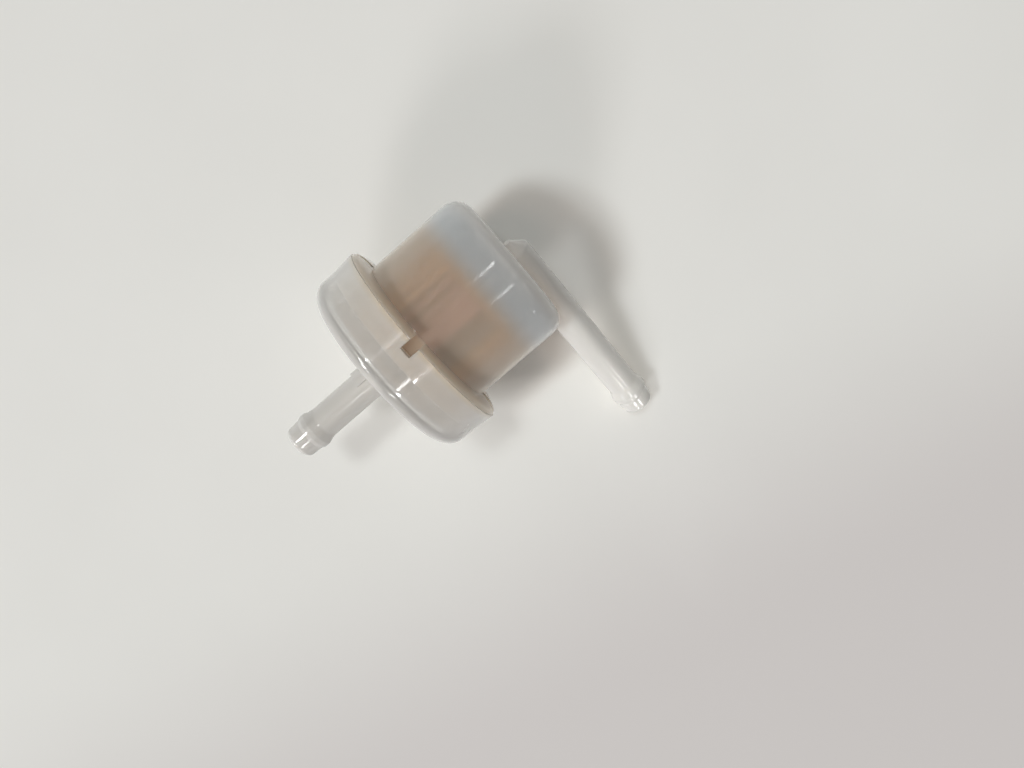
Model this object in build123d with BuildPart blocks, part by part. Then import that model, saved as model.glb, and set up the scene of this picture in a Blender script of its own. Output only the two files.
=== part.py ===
from build123d import *
import os
from math import asin, atan2, cos, degrees, hypot, radians, sin, tan

# In-line fuel filter with a straight inlet nipple and an outlet nipple at a right angle.
# Millimetres. The filter's axis is X: fuel comes in at -X and leaves sideways near +X.
# +Z is up. The filter lies as it does on a bench, on the skirt's edge and the outlet's tip.
# The origin is on the filter's axis, in the middle of the bowl's straight clamping band.

# Places along the filter's axis
INLET_TIP_X = -44.25
FRONT_X = -21.25
FLANGE_X = -14.9
SKIRT_EDGE_X = -10.2
OUTLET_X = 13.8
BOWL_END_X = 13.05
ELEMENT_END_X = 4.0

# Cap: a drum with a rounded front, and a skirt that flares towards its open edge
DRUM_R = 20.6
SKIRT_R = 21.0
CAP_BORE_R = 18.7
CAP_BORE_ROUND = 2.0
FRONT_WALL = 2.2
FRONT_ROUND = 3.3
NIPPLE_ENTRY_ROUND = 1.2
EDGE_ROUND = 0.15
ROOT_ROUND = 0.8
GATE_PAD_R = 3.8
GATE_PAD_LENGTH = 5.3
GATE_PAD_TILT = 90.0
GATE_PAD_SPAN = 76.0

# Bowl: a cup with a flange that plugs into the cap, and a rounded shoulder outside it
BOWL_R = 16.35
BOWL_WALL = 1.3
BOWL_END_WALL = 1.6
BOWL_ROUND = 4.0
FLANGE_R = 18.65
FLANGE_GAP = 0.05
SHOULDER_R = 20.75
SHOULDER_LENGTH = 1.1
MOUTH_RECESS = 1.0
MOUTH_RECESS_R = 16.65

# Drive notches, cut through the shoulder, the skirt's edge and the flange
NOTCH_COUNT = 4
NOTCH_WIDTH = 2.35
NOTCH_DEPTH = 2.35
NOTCH_FLOOR_R = 16.5
NOTCH_FROM_OUTLET = 22.5
NOTCH_CLEARANCE = 1.0

# Hose nipples: stem, bead and rounded nose, the same on the inlet and the outlet
STEM_R = 3.4
BORE_R = 2.1
BEAD_R = 3.95
NOSE_R = 3.42
NOSE_ROUND = 1.2
CREASE_R = 3.6
NOSE_LENGTH = 3.3
BEAD_START = 4.1
BEAD_LAND = 1.0
BEAD_RAMP = 1.7
BEAD_SOFTEN = 0.5
OUTLET_LENGTH = 46.0
BLIND_LENGTH = 3.4
BLIND_TAPER = 2.4
BLIND_POINT_R = 0.8
BLIND_ROUND = 0.9

# Filter element: pleated paper between two discs
PAPER_THICKNESS = 0.45
PAPER_CREST_R = 14.3
PAPER_ROOT_R = 8.7
PLEAT_COUNT = 37
FOLD_WIDTH = 0.62
LAP_START = 100.7
LAP_END = 117.0
SEAM_VALLEY_START = 89.0
ELEMENT_HOLE_R = 7.9
DISC_R = 14.85
END_DISC_R = 14.25
DISC_THICKNESS = 0.8
DISC_ROUND = 0.3
POTTING_THICKNESS = 0.8
COLLAR_RIM_R = 16.6
COLLAR_RIM_THICKNESS = 1.05
COLLAR_HUB_R = 14.95
COLLAR_HUB_LENGTH = 0.55
LAP_STRIP_THICKNESS = 0.7
LAP_STRIP_MARGIN = 1.2
LAP_STRIP_GAP = 0.02

# The outlet points down to the bench, so that its rounded nose touches the plane that the
# skirt rests on. The middle of the nose's round is what decides the angle.
nose_slope = atan2(CREASE_R - NOSE_R, NOSE_LENGTH)
nose_reach = OUTLET_LENGTH - NOSE_ROUND
round_middle_r = NOSE_R + NOSE_ROUND * tan(nose_slope) - NOSE_ROUND / cos(nose_slope)
round_middle_drop = SKIRT_R - NOSE_ROUND
outlet_fall = asin(round_middle_drop / hypot(nose_reach, round_middle_r))
outlet_fall -= atan2(round_middle_r, nose_reach)
outlet_way = Vector(0, -cos(outlet_fall), -sin(outlet_fall))

collar_hub_end_x = FLANGE_X + COLLAR_RIM_THICKNESS + COLLAR_HUB_LENGTH
paper_start_x = collar_hub_end_x + POTTING_THICKNESS
paper_end_x = ELEMENT_END_X - DISC_THICKNESS - POTTING_THICKNESS
flange_face_x = FLANGE_X + FLANGE_GAP
shoulder_face_x = SKIRT_EDGE_X + FLANGE_GAP
shoulder_foot_x = SKIRT_EDGE_X + SHOULDER_LENGTH
notch_middle_r = (NOTCH_FLOOR_R + SKIRT_R + NOTCH_CLEARANCE) / 2
notch_height = SKIRT_R + NOTCH_CLEARANCE - NOTCH_FLOOR_R


def across(x):
    """The plane across the filter's axis at x: its own x runs along the outlet, its normal to -X."""
    return Plane(origin=(x, 0, 0), x_dir=outlet_way, z_dir=(-1, 0, 0))


def nipple_side():
    """A nipple's outer side as (distance from its tip, radius), from the nose's face to the stem."""
    bead_end = BEAD_START + BEAD_LAND
    points = [
        (0, NOSE_R),
        (NOSE_LENGTH, CREASE_R),
        (BEAD_START, BEAD_R),
        (bead_end, BEAD_R),
        (bead_end + BEAD_RAMP, STEM_R),
    ]
    rounds = [NOSE_ROUND, 0, BEAD_SOFTEN, BEAD_SOFTEN, BEAD_RAMP]
    return points, rounds


def on_circle(radius, degrees_from_outlet):
    """A point of a cross-section, at an angle that starts at the outlet and turns up over the top."""
    turn = radians(degrees_from_outlet)
    return (radius * cos(turn), radius * sin(turn))


def fold_line():
    """The middle line of the pleated paper, as a closed list of points."""
    start = LAP_END
    pitch = (360 - (LAP_END - SEAM_VALLEY_START)) / PLEAT_COUNT
    half_crest = degrees(FOLD_WIDTH / 2 / PAPER_CREST_R)
    half_root = degrees(FOLD_WIDTH / 2 / PAPER_ROOT_R)
    points = []
    for pleat in range(PLEAT_COUNT):
        middle = start + (pleat + 0.5) * pitch
        points.append(on_circle(PAPER_ROOT_R, middle - pitch / 2 + half_root))
        points.append(on_circle(PAPER_CREST_R, middle - half_crest))
        points.append(on_circle(PAPER_CREST_R, middle + half_crest))
        points.append(on_circle(PAPER_ROOT_R, middle + pitch / 2 - half_root))
    lap_middle = (LAP_START + LAP_END) / 2
    points.append(on_circle(PAPER_ROOT_R, LAP_START - half_root))
    points.append(on_circle(PAPER_CREST_R, LAP_START))
    points.append(on_circle(PAPER_CREST_R, lap_middle))
    points.append(on_circle(PAPER_CREST_R, LAP_END))
    points.append(on_circle(PAPER_ROOT_R, LAP_END - half_root))
    return points


def beside(points, distance):
    """A closed line beside another one, at a distance to its right."""
    count = len(points)
    line = []
    for i in range(count):
        before = Vector(*points[i - 1])
        corner = Vector(*points[i])
        after = Vector(*points[(i + 1) % count])
        way_in = (corner - before).normalized()
        way_out = (after - corner).normalized()
        normal_in = Vector(way_in.Y, -way_in.X)
        normal_out = Vector(way_out.Y, -way_out.X)
        bisector = (normal_in + normal_out).normalized()
        reach = distance / bisector.dot(normal_in)
        line.append((corner.X + bisector.X * reach, corner.Y + bisector.Y * reach))
    return line


# Cap: inlet nipple, drum and skirt in one moulding
side, side_rounds = nipple_side()
with BuildPart() as cap:
    with BuildSketch(Plane.XZ):
        with BuildLine():
            outer_points = [(INLET_TIP_X, BORE_R)]
            outer_points += [(INLET_TIP_X + along, radius) for along, radius in side]
            outer_points += [
                (FRONT_X, STEM_R),
                (FRONT_X, DRUM_R),
                (FLANGE_X, DRUM_R),
                (SKIRT_EDGE_X, SKIRT_R),
                (SKIRT_EDGE_X, CAP_BORE_R),
            ]
            outer_rounds = side_rounds + [ROOT_ROUND, FRONT_ROUND, 0, EDGE_ROUND]
            outer_side = FilletPolyline(outer_points, radius=outer_rounds)
            inner_points = [
                outer_side @ 1,
                (FRONT_X + FRONT_WALL, CAP_BORE_R),
                (FRONT_X + FRONT_WALL, BORE_R),
                outer_side @ 0,
            ]
            FilletPolyline(inner_points, radius=[CAP_BORE_ROUND, NIPPLE_ENTRY_ROUND])
        make_face()
    revolve(axis=Axis.X)
    with BuildSketch(across(SKIRT_EDGE_X)):
        with PolarLocations(notch_middle_r, NOTCH_COUNT, start_angle=NOTCH_FROM_OUTLET):
            Rectangle(notch_height, NOTCH_WIDTH)
    extrude(amount=NOTCH_DEPTH, mode=Mode.SUBTRACT)
    # The gate pad: a low pad on one side of the inlet nipple's root, where the plastic was fed in
    with BuildSketch(Plane.XZ.rotated((-GATE_PAD_TILT, 0, 0))):
        pad_middle = (FRONT_X - GATE_PAD_LENGTH / 2, (STEM_R + GATE_PAD_R) / 2 - ROOT_ROUND / 2)
        with Locations(pad_middle):
            Rectangle(GATE_PAD_LENGTH, GATE_PAD_R - STEM_R + ROOT_ROUND)
    revolve(axis=Axis.X, revolution_arc=GATE_PAD_SPAN)
cap.part.label = "cap"

# Bowl: cup, flange and outlet nipple in one moulding
bowl_bore_r = BOWL_R - BOWL_WALL
bowl_floor_x = BOWL_END_X - BOWL_END_WALL
outlet_plane = Plane(origin=(OUTLET_X, 0, 0), x_dir=outlet_way, z_dir=(1, 0, 0))
outlet_axis = Axis((OUTLET_X, 0, 0), outlet_way)
port_plane = Plane(origin=(OUTLET_X, 0, 0), x_dir=outlet_way, z_dir=(-1, 0, 0))
with BuildPart() as bowl:
    with BuildSketch(Plane.XZ):
        with BuildLine():
            shell_outside = [
                (BOWL_END_X, 0),
                (BOWL_END_X, BOWL_R),
                (shoulder_foot_x, BOWL_R),
            ]
            FilletPolyline(shell_outside, radius=BOWL_ROUND)
            EllipticalCenterArc(
                (shoulder_face_x, BOWL_R),
                shoulder_foot_x - shoulder_face_x,
                SHOULDER_R - BOWL_R,
                start_angle=0,
                arc_size=90,
            )
            shell_inside = [
                (shoulder_face_x, SHOULDER_R),
                (shoulder_face_x, FLANGE_R),
                (flange_face_x, FLANGE_R),
                (flange_face_x, MOUTH_RECESS_R),
                (flange_face_x + MOUTH_RECESS, MOUTH_RECESS_R),
                (flange_face_x + MOUTH_RECESS, bowl_bore_r),
                (bowl_floor_x, bowl_bore_r),
                (bowl_floor_x, 0),
            ]
            FilletPolyline(shell_inside, radius=[0, 0, 0, 0, 0, BOWL_ROUND - BOWL_WALL])
            Line((bowl_floor_x, 0), (BOWL_END_X, 0))
        make_face()
    revolve(axis=Axis.X)
    with BuildSketch(across(shoulder_foot_x + NOTCH_CLEARANCE)):
        with PolarLocations(notch_middle_r, NOTCH_COUNT, start_angle=NOTCH_FROM_OUTLET):
            Rectangle(notch_height, NOTCH_WIDTH)
    extrude(amount=NOTCH_DEPTH + SHOULDER_LENGTH + NOTCH_CLEARANCE, mode=Mode.SUBTRACT)
    with BuildSketch(outlet_plane):
        with BuildLine():
            spout_points = [
                (-BLIND_LENGTH, 0),
                (-BLIND_LENGTH, BLIND_POINT_R),
                (BLIND_TAPER - BLIND_LENGTH, STEM_R),
            ]
            spout_points += [(OUTLET_LENGTH - along, radius) for along, radius in reversed(side)]
            spout_points += [(OUTLET_LENGTH, 0)]
            spout_rounds = [BLIND_POINT_R / 2, BLIND_ROUND] + side_rounds[::-1]
            FilletPolyline(spout_points, radius=spout_rounds)
            Line((OUTLET_LENGTH, 0), (-BLIND_LENGTH, 0))
        make_face()
    revolve(axis=outlet_axis)
    with BuildSketch(outlet_plane):
        with Locations((OUTLET_LENGTH / 2, BORE_R / 2)):
            Rectangle(OUTLET_LENGTH, BORE_R)
    revolve(axis=outlet_axis, mode=Mode.SUBTRACT)
    with BuildSketch(port_plane):
        Circle(BORE_R)
    extrude(amount=OUTLET_X - bowl_floor_x + STEM_R, mode=Mode.SUBTRACT)
bowl.part.label = "bowl"

# Filter paper: one strip folded into deep pleats, with its two ends lapped flat at the seam
middle_line = fold_line()
with BuildPart() as filter_paper:
    with BuildSketch(across(paper_end_x)):
        with BuildLine():
            Polyline(beside(middle_line, PAPER_THICKNESS / 2), close=True)
        make_face()
        with BuildLine():
            Polyline(beside(middle_line, -PAPER_THICKNESS / 2), close=True)
        make_face(mode=Mode.SUBTRACT)
    extrude(amount=paper_end_x - paper_start_x)
filter_paper.part.label = "filter_paper"

# Seam strip: the second layer of the lap, under the flat crest of the seam
lap_inner_r = PAPER_CREST_R - PAPER_THICKNESS / 2
strip_outer_r = lap_inner_r * cos(radians(LAP_END - LAP_START) / 4) - LAP_STRIP_GAP
strip_inner_r = strip_outer_r - LAP_STRIP_THICKNESS
strip_span = (LAP_START + LAP_STRIP_MARGIN, LAP_END - LAP_STRIP_MARGIN)
with BuildPart() as seam_strip:
    with BuildSketch(across(paper_end_x)):
        with BuildLine():
            strip_middle = sum(strip_span) / 2
            Polyline(
                on_circle(strip_inner_r, strip_span[0]),
                on_circle(strip_outer_r, strip_span[0]),
                on_circle(strip_outer_r, strip_middle),
                on_circle(strip_outer_r, strip_span[1]),
                on_circle(strip_inner_r, strip_span[1]),
                on_circle(strip_inner_r, strip_middle),
                close=True,
            )
        make_face()
    extrude(amount=paper_end_x - paper_start_x)
seam_strip.part.label = "seam_strip"

# Element collar: the open end's ring, bonded by its rim into the recess in the bowl's mouth
with BuildPart() as element_collar:
    with BuildSketch(Plane.XZ):
        with BuildLine():
            rim_end_x = FLANGE_X + COLLAR_RIM_THICKNESS
            Polyline(
                (FLANGE_X, ELEMENT_HOLE_R),
                (FLANGE_X, COLLAR_RIM_R),
                (rim_end_x, COLLAR_RIM_R),
                (rim_end_x, COLLAR_HUB_R),
                (collar_hub_end_x, COLLAR_HUB_R),
                (collar_hub_end_x, ELEMENT_HOLE_R),
                close=True,
            )
        make_face()
    revolve(axis=Axis.X)
element_collar.part.label = "element_collar"

# Collar potting: the adhesive bed that seals the paper to the collar
with BuildPart() as collar_potting:
    with BuildSketch(across(paper_start_x)):
        Circle(DISC_R)
        Circle(ELEMENT_HOLE_R, mode=Mode.SUBTRACT)
    extrude(amount=POTTING_THICKNESS)
collar_potting.part.label = "collar_potting"

# End potting and end disc: they close the element's far end
with BuildPart() as end_potting:
    with BuildSketch(across(paper_end_x + POTTING_THICKNESS)):
        Circle(END_DISC_R)
    extrude(amount=POTTING_THICKNESS)
end_potting.part.label = "end_potting"

with BuildPart() as end_disc:
    with BuildSketch(across(ELEMENT_END_X)):
        Circle(END_DISC_R)
    extrude(amount=DISC_THICKNESS)
    fillet(end_disc.edges().sort_by(Axis.X)[-1], radius=DISC_ROUND)
end_disc.part.label = "end_disc"

pieces = [
    cap,
    bowl,
    filter_paper,
    seam_strip,
    element_collar,
    collar_potting,
    end_potting,
    end_disc,
]
os.makedirs("parts", exist_ok=True)
for piece in pieces:
    export_step(piece.part, f"parts/{piece.part.label}.step")
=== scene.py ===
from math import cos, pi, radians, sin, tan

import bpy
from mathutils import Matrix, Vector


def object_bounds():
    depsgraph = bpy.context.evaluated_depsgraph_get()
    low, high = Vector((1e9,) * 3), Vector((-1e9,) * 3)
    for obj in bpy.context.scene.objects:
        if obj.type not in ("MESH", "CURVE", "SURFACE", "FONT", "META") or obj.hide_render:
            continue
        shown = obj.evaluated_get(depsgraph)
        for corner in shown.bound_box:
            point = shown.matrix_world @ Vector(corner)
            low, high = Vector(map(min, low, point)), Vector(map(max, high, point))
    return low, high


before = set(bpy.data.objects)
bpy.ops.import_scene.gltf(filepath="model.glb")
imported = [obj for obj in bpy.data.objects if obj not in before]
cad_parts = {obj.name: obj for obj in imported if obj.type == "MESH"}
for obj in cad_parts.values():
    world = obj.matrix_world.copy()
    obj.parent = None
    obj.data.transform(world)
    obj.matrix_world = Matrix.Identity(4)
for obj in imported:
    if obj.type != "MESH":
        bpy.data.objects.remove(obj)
cad_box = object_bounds()

# Looks of an in-line fuel filter, in metres where nothing else is said. Every CAD node keeps its shape
# and gets a material. The floor, the lamps and the camera are the only things added.
# The filter's axis is X, through the origin, with the inlet at -X and the outlet near +X. +Z is up.

MM = 0.001

# ---------------------------------------------------------------- node helpers

# The Mix node has these sockets once for each kind of data. These are the places of the colour ones.
MIX_START = 6
MIX_END = 7
MIX_RESULT = 2


def add(tree, kind, inputs=None, **settings):
    """A node with its settings, and its inputs set to values or linked to sockets."""
    made = tree.nodes.new(kind)
    for key, value in settings.items():
        setattr(made, key, value)
    for key, value in (inputs or {}).items():
        if isinstance(value, bpy.types.NodeSocket):
            tree.links.new(value, made.inputs[key])
        else:
            made.inputs[key].default_value = value
    return made


def new_material(name):
    """A node material with nothing in it."""
    material = bpy.data.materials.new(name)
    material.use_nodes = True
    material.node_tree.nodes.clear()
    return material


def finish_material(material, shader):
    """Shows the shader on the material's surface."""
    add(material.node_tree, "ShaderNodeOutputMaterial", {"Surface": shader})
    return material


def opaque(colour):
    """The colour with full alpha, as colour sockets want it."""
    return (*colour, 1.0)


def compute(tree, operation, *values):
    """The result of a Math node."""
    return add(tree, "ShaderNodeMath", dict(enumerate(values)), operation=operation).outputs[0]


def place(tree, scale=(1, 1, 1)):
    """The object's own coordinates, stretched. The CAD nodes share one frame, so these are metres."""
    coordinates = add(tree, "ShaderNodeTexCoord")
    mapping = add(tree, "ShaderNodeMapping", {"Vector": coordinates.outputs["Object"], "Scale": scale})
    return mapping.outputs[0]


def noise(tree, vector, scale, detail, roughness=0.55):
    """Cloudy noise around 0.5. The scale is in cells to the metre."""
    inputs = {"Vector": vector, "Scale": scale, "Detail": detail, "Roughness": roughness}
    return add(tree, "ShaderNodeTexNoise", inputs).outputs["Fac"]


def ramp(tree, factor, low, high, start=0.3, end=0.7):
    """A colour that runs from low to high as the factor goes from start to end."""
    made = add(tree, "ShaderNodeValToRGB", {"Fac": factor})
    for element, position, colour in zip(made.color_ramp.elements, (start, end), (low, high)):
        element.position = position
        element.color = opaque(colour)
    return made.outputs["Color"]


def blend(tree, factor, start, end, kind="MIX"):
    """The start colour with the end colour mixed in by the factor, or multiplied on if kind is MULTIPLY."""
    inputs = {0: factor, MIX_START: start, MIX_END: opaque(end)}
    return add(tree, "ShaderNodeMix", inputs, data_type="RGBA", blend_type=kind).outputs[MIX_RESULT]


def mix_shaders(tree, factor, first, second):
    """The first shader where the factor is 0, and the second where it is 1."""
    return add(tree, "ShaderNodeMixShader", {0: factor, 1: first, 2: second}).outputs[0]


def stretch(tree, factor, low, high):
    """The factor, carried from 0..1 to low..high."""
    made = add(tree, "ShaderNodeMapRange", {"Value": factor, "To Min": low, "To Max": high})
    return made.outputs["Result"]


def smooth_step(tree, value, start, end):
    """0 up to the start and 1 from the end on, with a soft rise between them. The end may be the lower."""
    inputs = {"Value": value, "From Min": start, "From Max": end}
    return add(tree, "ShaderNodeMapRange", inputs, interpolation_type="SMOOTHSTEP").outputs["Result"]


def bump(tree, height, distance, strength, normal=None):
    """The normal of a relief, on top of another one if the other's normal is given."""
    inputs = {"Height": height, "Distance": distance, "Strength": strength}
    if normal is not None:
        inputs["Normal"] = normal
    return add(tree, "ShaderNodeBump", inputs).outputs["Normal"]


# ---------------------------------------------------------------- places on the filter


def own_axes(tree):
    """The separate X, Y and Z of the object's own coordinates."""
    coordinates = add(tree, "ShaderNodeTexCoord")
    return add(tree, "ShaderNodeSeparateXYZ", {0: coordinates.outputs["Object"]}).outputs


def along_axis(tree):
    """The place along the filter's axis."""
    return own_axes(tree)["X"]


def from_axis(tree):
    """The distance from the filter's axis."""
    axes = own_axes(tree)
    flat = add(tree, "ShaderNodeCombineXYZ", {"Y": axes["Y"], "Z": axes["Z"]})
    return add(tree, "ShaderNodeVectorMath", {0: flat.outputs[0]}, operation="LENGTH").outputs["Value"]


def around(tree, degrees, half_width, softness):
    """1 on a strip along the filter, 0 elsewhere. Degrees from the top, towards +Y."""
    axes = own_axes(tree)
    across = compute(tree, "MULTIPLY", axes["Y"], sin(radians(degrees)))
    reach = compute(tree, "MULTIPLY_ADD", axes["Z"], cos(radians(degrees)), across)
    nearness = compute(tree, "DIVIDE", reach, from_axis(tree))
    return smooth_step(tree, nearness, cos(radians(half_width + softness)), cos(radians(half_width)))


# Where each mask starts to rise and where it is full, in mm. The outlet tube's are distances from the
# axis, and the others are places along it.
CAP_NIPPLE = (-20.5, -22.5)
SKIRT_EDGE = (-11.6, -10.2)
CUP_SIDE = (7.5, 2.0)
BOWL_END = (8.5, 13.0)
OUTLET_TUBE = (16.8, 17.6)
BOWL_FLANGE = (-9.0, -10.0)
FLANGE_SHARE = 0.8


def rise(tree, value, ends_mm):
    """A smooth step between two places, given in mm."""
    start, end = ends_mm
    return smooth_step(tree, value, start * MM, end * MM)


def cap_thick(tree):
    """The inlet nipple, and some of the drum's front round it."""
    return rise(tree, along_axis(tree), CAP_NIPPLE)


def cap_painted_glow(tree):
    """Where a warm glow of light scattered out from the filter element is painted: the skirt's open edge.
    """
    return rise(tree, along_axis(tree), SKIRT_EDGE)


def bowl_thick(tree):
    """The bowl's end, the outlet outside its wall, and, less, the shoulder and the flange."""
    bowl_end = rise(tree, along_axis(tree), BOWL_END)
    tube = rise(tree, from_axis(tree), OUTLET_TUBE)
    flange = stretch(tree, rise(tree, along_axis(tree), BOWL_FLANGE), 0.0, FLANGE_SHARE)
    return compute(tree, "MAXIMUM", compute(tree, "MAXIMUM", bowl_end, tube), flange)


def bowl_painted_glow(tree):
    """Where the element's colour is painted on as a glow of light scattered through the wall: the cup's
    side and shoulder, round the filter element.
    """
    return rise(tree, along_axis(tree), CUP_SIDE)


# ---------------------------------------------------------------- moulded plastic

WHITE = (1.0, 1.0, 1.0)
NYLON_IOR = 1.5
SKIN_ROUGHNESS = 0.09
MILK_ROUGHNESS = 0.6
MILK_DEPTH = 1.5 * MM
EDGE_MILK = 0.3
HAZE_SPREAD = 0.03

# Noise of the plastic: cells to the metre, and the height and strength of what stands up from the skin
CLOUD_SCALE = 90.0
WAVE_SCALE = 150.0
WAVE_HEIGHT = 0.25 * MM
WAVE_STRENGTH = 0.2
GRAIN_SCALE = 2600.0
GRAIN_HEIGHT = 0.012 * MM
GRAIN_STRENGTH = 0.3

# Pale and deep are the clouds of the milky part, tint and haze are the colour and roughness of the clear
# part, and milk is the milky part's share. Shadow is the light that gets through the moulding. The values
# whose names start with thick hold where the thick mask is 1, and painted_glow holds where the painted glow
# mask is 1: a painted glow of the filter element's colour, standing in for its light scattered through the
# plastic.
CAP_LOOK = {
    "thick_mask": cap_thick,
    "painted_glow_mask": cap_painted_glow,
    "pale": (0.81, 0.79, 0.75),
    "deep": (0.75, 0.73, 0.69),
    "thick_tone": (0.72, 0.70, 0.665),
    # Painted glow: the element's warm colour, standing in for its light scattered out through the skirt.
    "painted_glow": (0.80, 0.73, 0.61),
    "tint": (0.975, 0.973, 0.967),
    "milk": 0.34,
    "thick_milk": 0.62,
    "haze": 0.26,
    "shadow": (0.76, 0.75, 0.74),
    "thick_shadow": (0.63, 0.62, 0.61),
}
BOWL_LOOK = {
    "thick_mask": bowl_thick,
    "painted_glow_mask": bowl_painted_glow,
    "pale": (0.82, 0.875, 0.895),
    "deep": (0.75, 0.805, 0.83),
    "thick_tone": (0.93, 0.905, 0.86),
    # Painted glow: the element's colour, standing in for its light scattered through the cup's wall.
    "painted_glow": (0.79, 0.655, 0.515),
    "tint": (0.98, 0.975, 0.96),
    "milk": 0.27,
    "thick_milk": 0.60,
    "haze": 0.80,
    "shadow": (0.67, 0.60, 0.56),
    "thick_shadow": (0.67, 0.65, 0.63),
}


def moulded_skin(tree, here):
    """The normal of a moulded surface: shallow waves with a fine grain on them."""
    waves = noise(tree, here, WAVE_SCALE, detail=2.0)
    grain = noise(tree, here, GRAIN_SCALE, detail=2.0)
    wavy = bump(tree, waves, WAVE_HEIGHT, WAVE_STRENGTH)
    return bump(tree, grain, GRAIN_HEIGHT, GRAIN_STRENGTH, wavy)


def milky_plastic(name, look):
    """Natural translucent nylon: a hazy clear part and a milky part under a glossy moulded skin.

    The thick mask is 1 where the moulding is thick and so milkier, and the painted glow mask is 1 where the
    filter element's colour is painted on as a glow, standing in for its light scattered through the
    plastic."""
    material = new_material(name)
    tree = material.node_tree
    here = place(tree)
    clouds = noise(tree, here, CLOUD_SCALE, detail=4.0)
    skin = moulded_skin(tree, here)
    thick = look["thick_mask"](tree)
    tone = blend(tree, thick, ramp(tree, clouds, look["deep"], look["pale"]), look["thick_tone"])
    # The base colour has the element's warm colour painted on as a glow of scattered light where the glow
    # mask is 1.
    milky = add(tree, "ShaderNodeBsdfPrincipled", {
        "Base Color": blend(tree, look["painted_glow_mask"](tree), tone, look["painted_glow"]),
        "Roughness": MILK_ROUGHNESS,
        "Specular IOR Level": 0.0,
        "Subsurface Weight": 1.0,
        "Subsurface Radius": WHITE,
        "Subsurface Scale": MILK_DEPTH,
    }).outputs[0]
    clear = add(tree, "ShaderNodeBsdfRefraction", {
        "Color": opaque(look["tint"]),
        "Roughness": stretch(tree, clouds, look["haze"] - HAZE_SPREAD, look["haze"] + HAZE_SPREAD),
        "IOR": NYLON_IOR,
        "Normal": skin,
    }).outputs[0]
    gloss = add(tree, "ShaderNodeBsdfAnisotropic", {
        "Color": opaque(WHITE),
        "Roughness": SKIN_ROUGHNESS,
        "Normal": skin,
    }).outputs[0]
    inside = mix_shaders(tree, stretch(tree, thick, look["milk"], look["thick_milk"]), clear, milky)
    slant = add(tree, "ShaderNodeLayerWeight", {"Blend": EDGE_MILK}).outputs["Facing"]
    fresnel = add(tree, "ShaderNodeFresnel", {"IOR": NYLON_IOR, "Normal": skin}).outputs[0]
    shell = mix_shaders(tree, fresnel, mix_shaders(tree, slant, inside, milky), gloss)
    shade = blend(tree, thick, opaque(look["shadow"]), look["thick_shadow"])
    through = add(tree, "ShaderNodeBsdfTransparent", {"Color": shade}).outputs[0]
    shadow_ray = add(tree, "ShaderNodeLightPath").outputs["Is Shadow Ray"]
    return finish_material(material, mix_shaders(tree, shadow_ray, shell, through))


# ---------------------------------------------------------------- filter element

FIBRE_CLOUD_SCALE = 220.0
FIBRE_SCALE = 2400.0
FIBRE_ROUGHNESS = 0.7
FIBRE_STRETCH = (0.35, 1, 1)
FLECK_START = 0.55
FLECK_END = 0.75
NAP_HEIGHT = 0.04 * MM
NAP_STRENGTH = 0.6
FIBRE_DEPTH = 1.2 * MM
FIBRE_DEPTH_BY_COLOUR = (1.0, 0.8, 0.65)

GLUE_CLOUD_SCALE = 260.0
PIT_SCALE = 1500.0
PIT_DEPTH = 0.08 * MM
PIT_STRENGTH = 0.5

# Strips that run along the paper: a purplish one beside the lap; a bluish one from the lap's middle on,
# which is painted shade, a dark band along the element; and a paler one beyond that, which is painted light
# on the element's lower side. Each has its middle, half its width and its softness, in degrees round the
# filter as in around(), and the colour that the paper's own is multiplied by.
PAPER_STRIPS_AND_PAINTED_LIGHT = (
    (4.3, 18.0, 3.0, (0.68, 0.70, 1.10)),
    (-25.0, 8.0, 3.0, (0.36, 0.70, 1.35)),
    (-50.0, 12.0, 5.0, (1.2, 1.2, 1.2)),
)

# Node, material, light tone, dark tone, colour of the flecks, and strips, some of them painted shade and
# painted light
FIBRE_LOOKS = (
    ("filter_paper", "paper", (0.79, 0.54, 0.37), (0.71, 0.48, 0.32), (0.84, 0.66, 0.5), PAPER_STRIPS_AND_PAINTED_LIGHT),
    ("seam_strip", "seam_paper", (0.66, 0.34, 0.2), (0.56, 0.28, 0.16), (0.75, 0.48, 0.32), ()),
    ("element_collar", "collar_board", (0.68, 0.5, 0.36), (0.58, 0.42, 0.3), (0.76, 0.6, 0.46), ()),
    ("end_disc", "disc_board", (0.52, 0.40, 0.31), (0.44, 0.33, 0.25), (0.6, 0.48, 0.38), ()),
)

# Node, material, light tone and dark tone
GLUE_LOOKS = (
    ("collar_potting", "potting", (0.8, 0.68, 0.52), (0.7, 0.58, 0.43)),
    ("end_potting", "end_potting", (0.50, 0.38, 0.29), (0.42, 0.31, 0.23)),
)


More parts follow.
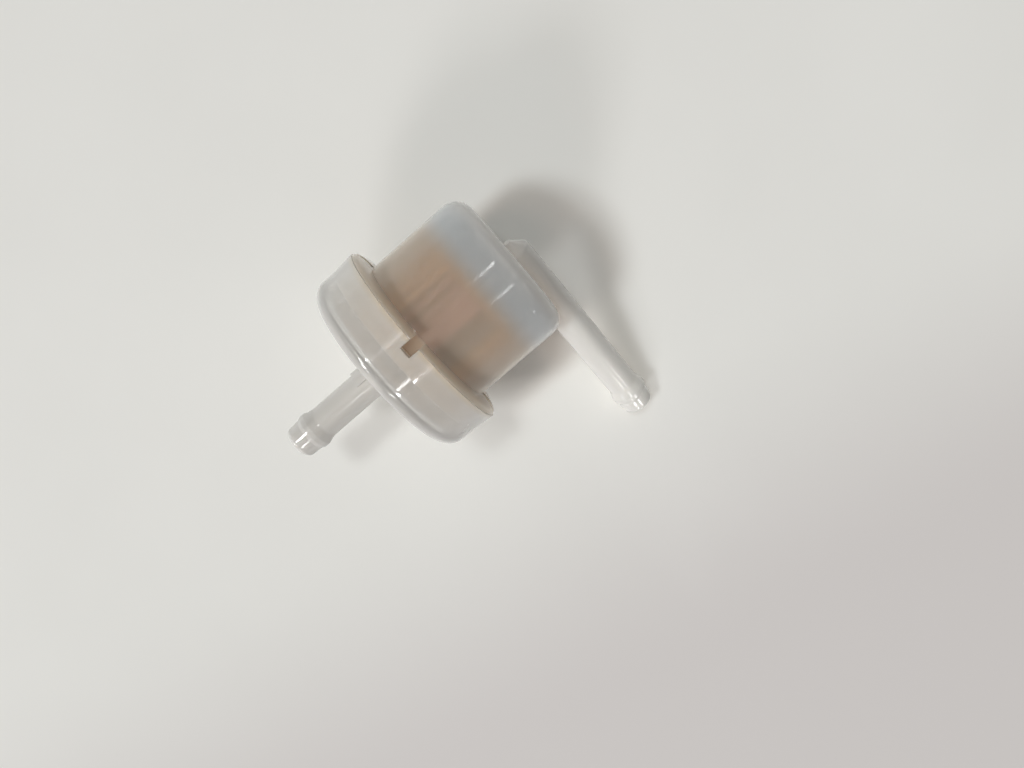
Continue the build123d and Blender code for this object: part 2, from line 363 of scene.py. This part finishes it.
def fibre(name, light, dark, fleck, strips):
    """Matt fibrous sheet: darker clouds on the light tone, pale flecks, strips (some of them painted shade
    and painted light), and a soft nap.
    """
    material = new_material(name)
    tree = material.node_tree
    clouds = noise(tree, place(tree), FIBRE_CLOUD_SCALE, detail=4.0)
    fibres = noise(tree, place(tree, FIBRE_STRETCH), FIBRE_SCALE, detail=6.0, roughness=FIBRE_ROUGHNESS)
    flecks = ramp(tree, fibres, (0.0, 0.0, 0.0), WHITE, FLECK_START, FLECK_END)
    colour = blend(tree, flecks, ramp(tree, clouds, dark, light), fleck)
    # The strips are multiplied on; on the paper they include a dark band of painted shade and a pale band
    # of painted light.
    for degrees, half_width, softness, tone in strips:
        colour = blend(tree, around(tree, degrees, half_width, softness), colour, tone, "MULTIPLY")
    sheet = add(tree, "ShaderNodeBsdfPrincipled", {
        "Base Color": colour,
        "Roughness": stretch(tree, fibres, 0.75, 0.95),
        "Subsurface Weight": 0.8,
        "Subsurface Radius": FIBRE_DEPTH_BY_COLOUR,
        "Subsurface Scale": FIBRE_DEPTH,
        "Specular IOR Level": 0.2,
        "Sheen Weight": 0.15,
        "Normal": bump(tree, fibres, NAP_HEIGHT, NAP_STRENGTH),
    })
    return finish_material(material, sheet.outputs[0])


def glue(name, light, dark):
    """Cured adhesive: dull, slightly uneven, with pinholes."""
    material = new_material(name)
    tree = material.node_tree
    here = place(tree)
    clouds = noise(tree, here, GLUE_CLOUD_SCALE, detail=3.0)
    pits = noise(tree, here, PIT_SCALE, detail=3.0)
    resin = add(tree, "ShaderNodeBsdfPrincipled", {
        "Base Color": ramp(tree, clouds, dark, light),
        "Roughness": stretch(tree, pits, 0.45, 0.7),
        "Normal": bump(tree, pits, PIT_DEPTH, PIT_STRENGTH),
    })
    return finish_material(material, resin.outputs[0])


# ---------------------------------------------------------------- materials on the nodes


def dress(node, material):
    """Gives a CAD node its material."""
    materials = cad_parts[node].data.materials
    materials.clear()
    materials.append(material)


dress("cap", milky_plastic("cap_plastic", CAP_LOOK))
dress("bowl", milky_plastic("bowl_plastic", BOWL_LOOK))
for node, name, light, dark, fleck, strips in FIBRE_LOOKS:
    dress(node, fibre(name, light, dark, fleck, strips))
for node, name, light, dark in GLUE_LOOKS:
    dress(node, glue(name, light, dark))

# ---------------------------------------------------------------- floor and room

FLOOR_SIZE = 6.0
BOARD_LIGHT = (0.86, 0.85, 0.81)
BOARD_DARK = (0.83, 0.82, 0.78)
BOARD_CLOUD_SCALE = 14.0
BOARD_ROUGHNESS = 0.75

# A broad shadow is painted on the board: it gets darker and pinker this way, between these distances from
# the origin.
PAINTED_SHADOW = (0.70, 0.665, 0.645)
PAINTED_SHADOW_WAY = (-0.24, -0.97, 0.0)
PAINTED_SHADOW_START = 0.03
PAINTED_SHADOW_END = 0.10

ROOM_COLOUR = (1.0, 0.995, 0.985)
ROOM_STRENGTH = 0.11


def pale_board():
    """The floor's matt board, a little cloudy, with a broad shadow painted on one side."""
    material = new_material("pale_board")
    tree = material.node_tree
    clouds = noise(tree, place(tree), BOARD_CLOUD_SCALE, detail=3.0)
    # Painted shadow: the board turns darker and pinker towards one side.
    way = add(tree, "ShaderNodeVectorMath", {0: place(tree), 1: PAINTED_SHADOW_WAY}, operation="DOT_PRODUCT")
    painted_shadow = smooth_step(tree, way.outputs["Value"], PAINTED_SHADOW_START, PAINTED_SHADOW_END)
    tone = blend(tree, painted_shadow, ramp(tree, clouds, BOARD_DARK, BOARD_LIGHT), PAINTED_SHADOW)
    board = add(tree, "ShaderNodeBsdfPrincipled", {"Base Color": tone, "Roughness": BOARD_ROUGHNESS})
    return finish_material(material, board.outputs[0])


floor_z = cad_box[0][2]
bpy.ops.mesh.primitive_plane_add(size=FLOOR_SIZE, location=(0, 0, floor_z))
floor = bpy.context.object
floor.name = "floor"
floor.data.materials.append(pale_board())

world = bpy.data.worlds.new("room")
world.use_nodes = True
background = world.node_tree.nodes["Background"]
background.inputs["Color"].default_value = opaque(ROOM_COLOUR)
background.inputs["Strength"].default_value = ROOM_STRENGTH
bpy.context.scene.world = world

# ---------------------------------------------------------------- lamps

LIGHTING_DISTANCE = 8.0
GLINT_DISTANCE = 1.5
TIP_DISTANCE = 0.06
TIP_BEAM = 40.0
ORIGIN = Vector((0, 0, 0))
OUTLET_TIP = Vector((13.8, -40.5, -14.0)) * MM

# Lamps that light the scene and show no reflection of themselves: name, slopes, size, radiance, colour.
# The slopes say how far along X and along Y the lamp is for each metre above the point that it looks at,
# and the size is in parts of its distance.
LIGHTING_LAMPS = (
    ("lamp_main", (-0.62, 0.18), (0.17, 0.17), 47.5, WHITE),
    ("lamp_front", (-0.02, 0.41), (0.16, 0.12), 41.5, (0.97, 1.0, 1.0)),
    ("lamp_low", (-1.35, -0.8), (0.20, 0.20), 19.0, (1.0, 0.97, 0.97)),
)

# Lamps that only show as reflections: name, slopes, size and radiance
GLINT_LAMPS = (
    ("glint_a_near", (-0.23, -0.475), (0.14, 0.06), 16.0),
    ("glint_a_far", (0.12, -0.51), (0.26, 0.05), 9.0),
    ("glint_b_near", (-0.36, 0.30), (0.36, 0.05), 3.0),
    ("glint_b_far", (0.12, 0.195), (0.26, 0.06), 12.0),
    ("glint_nose_a", (-0.51, -0.61), (0.14, 0.05), 80.0),
    ("glint_nose_b", (-0.51, 0.36), (0.14, 0.05), 80.0),
    ("glint_corner_a", (-2.0, -0.78), (0.25, 0.08), 14.0),
    ("glint_corner_b", (-2.6, 0.62), (0.35, 0.14), 16.0),
)

# The same for the outlet's tip alone, in a narrow beam from close by
TIP_LAMPS = (
    ("glint_tip_a", (-1.15, -2.6), (0.10, 0.7), 24.0),
    ("glint_tip_b", (0.2, -2.1), (0.08, 0.7), 24.0),
)


def panel_lamp(name, slopes, size, radiance, colour, distance, aim):
    """A rectangular lamp that looks at the aim. It isn't seen itself, in the open or through plastic."""
    data = bpy.data.lights.new(name, "AREA")
    data.shape = "RECTANGLE"
    data.size = size[0] * distance
    data.size_y = size[1] * distance
    data.energy = radiance * pi * data.size * data.size_y
    data.color = colour
    lamp = bpy.data.objects.new(name, data)
    bpy.context.scene.collection.objects.link(lamp)
    back = Vector((*slopes, 1.0)).normalized()
    side = (Vector((1, 0, 0)) - back * back.x).normalized()
    turned = Matrix((side, back.cross(side), back)).transposed().to_4x4()
    lamp.matrix_world = Matrix.Translation(aim + back * distance) @ turned
    lamp.visible_camera = False
    lamp.visible_transmission = False
    lamp.visible_volume_scatter = False
    return lamp


def narrow(lamp, beam):
    """Keeps the lamp's light within a beam, in degrees. The beam's middle stays as bright as it was."""
    half = radians(beam) / 2
    lamp.data.spread = 2 * half
    lamp.data.energy *= (tan(half) - half) / tan(half)


for name, slopes, size, radiance, colour in LIGHTING_LAMPS:
    lamp = panel_lamp(name, slopes, size, radiance, colour, LIGHTING_DISTANCE, ORIGIN)
    lamp.visible_glossy = False
for name, slopes, size, radiance in GLINT_LAMPS:
    lamp = panel_lamp(name, slopes, size, radiance, WHITE, GLINT_DISTANCE, ORIGIN)
    lamp.visible_diffuse = False
for name, slopes, size, radiance in TIP_LAMPS:
    lamp = panel_lamp(name, slopes, size, radiance, WHITE, TIP_DISTANCE, OUTLET_TIP)
    lamp.visible_diffuse = False
    narrow(lamp, TIP_BEAM)

# ---------------------------------------------------------------- camera

CAMERA_PLACE = Vector((9.97, -1.04, 166.7)) * MM
CAMERA_BACK = Vector((0.0801, 0.1056, 0.9912)).normalized()
CAMERA_RIGHT = Vector((0.7586, -0.6515, 0.0081)).normalized()
LENS_MM = 29.53
SENSOR_MM = 36.0
CLIP_START = 10 * MM

camera_data = bpy.data.cameras.new("camera")
camera_data.lens = LENS_MM
camera_data.sensor_width = SENSOR_MM
camera_data.clip_start = CLIP_START
camera = bpy.data.objects.new("camera", camera_data)
bpy.context.scene.collection.objects.link(camera)
camera_up = CAMERA_BACK.cross(CAMERA_RIGHT).normalized()
camera_axes = Matrix((camera_up.cross(CAMERA_BACK), camera_up, CAMERA_BACK)).transposed().to_4x4()
camera.matrix_world = Matrix.Translation(CAMERA_PLACE) @ camera_axes
bpy.context.scene.camera = camera
bpy.context.scene.view_settings.view_transform = "Standard"
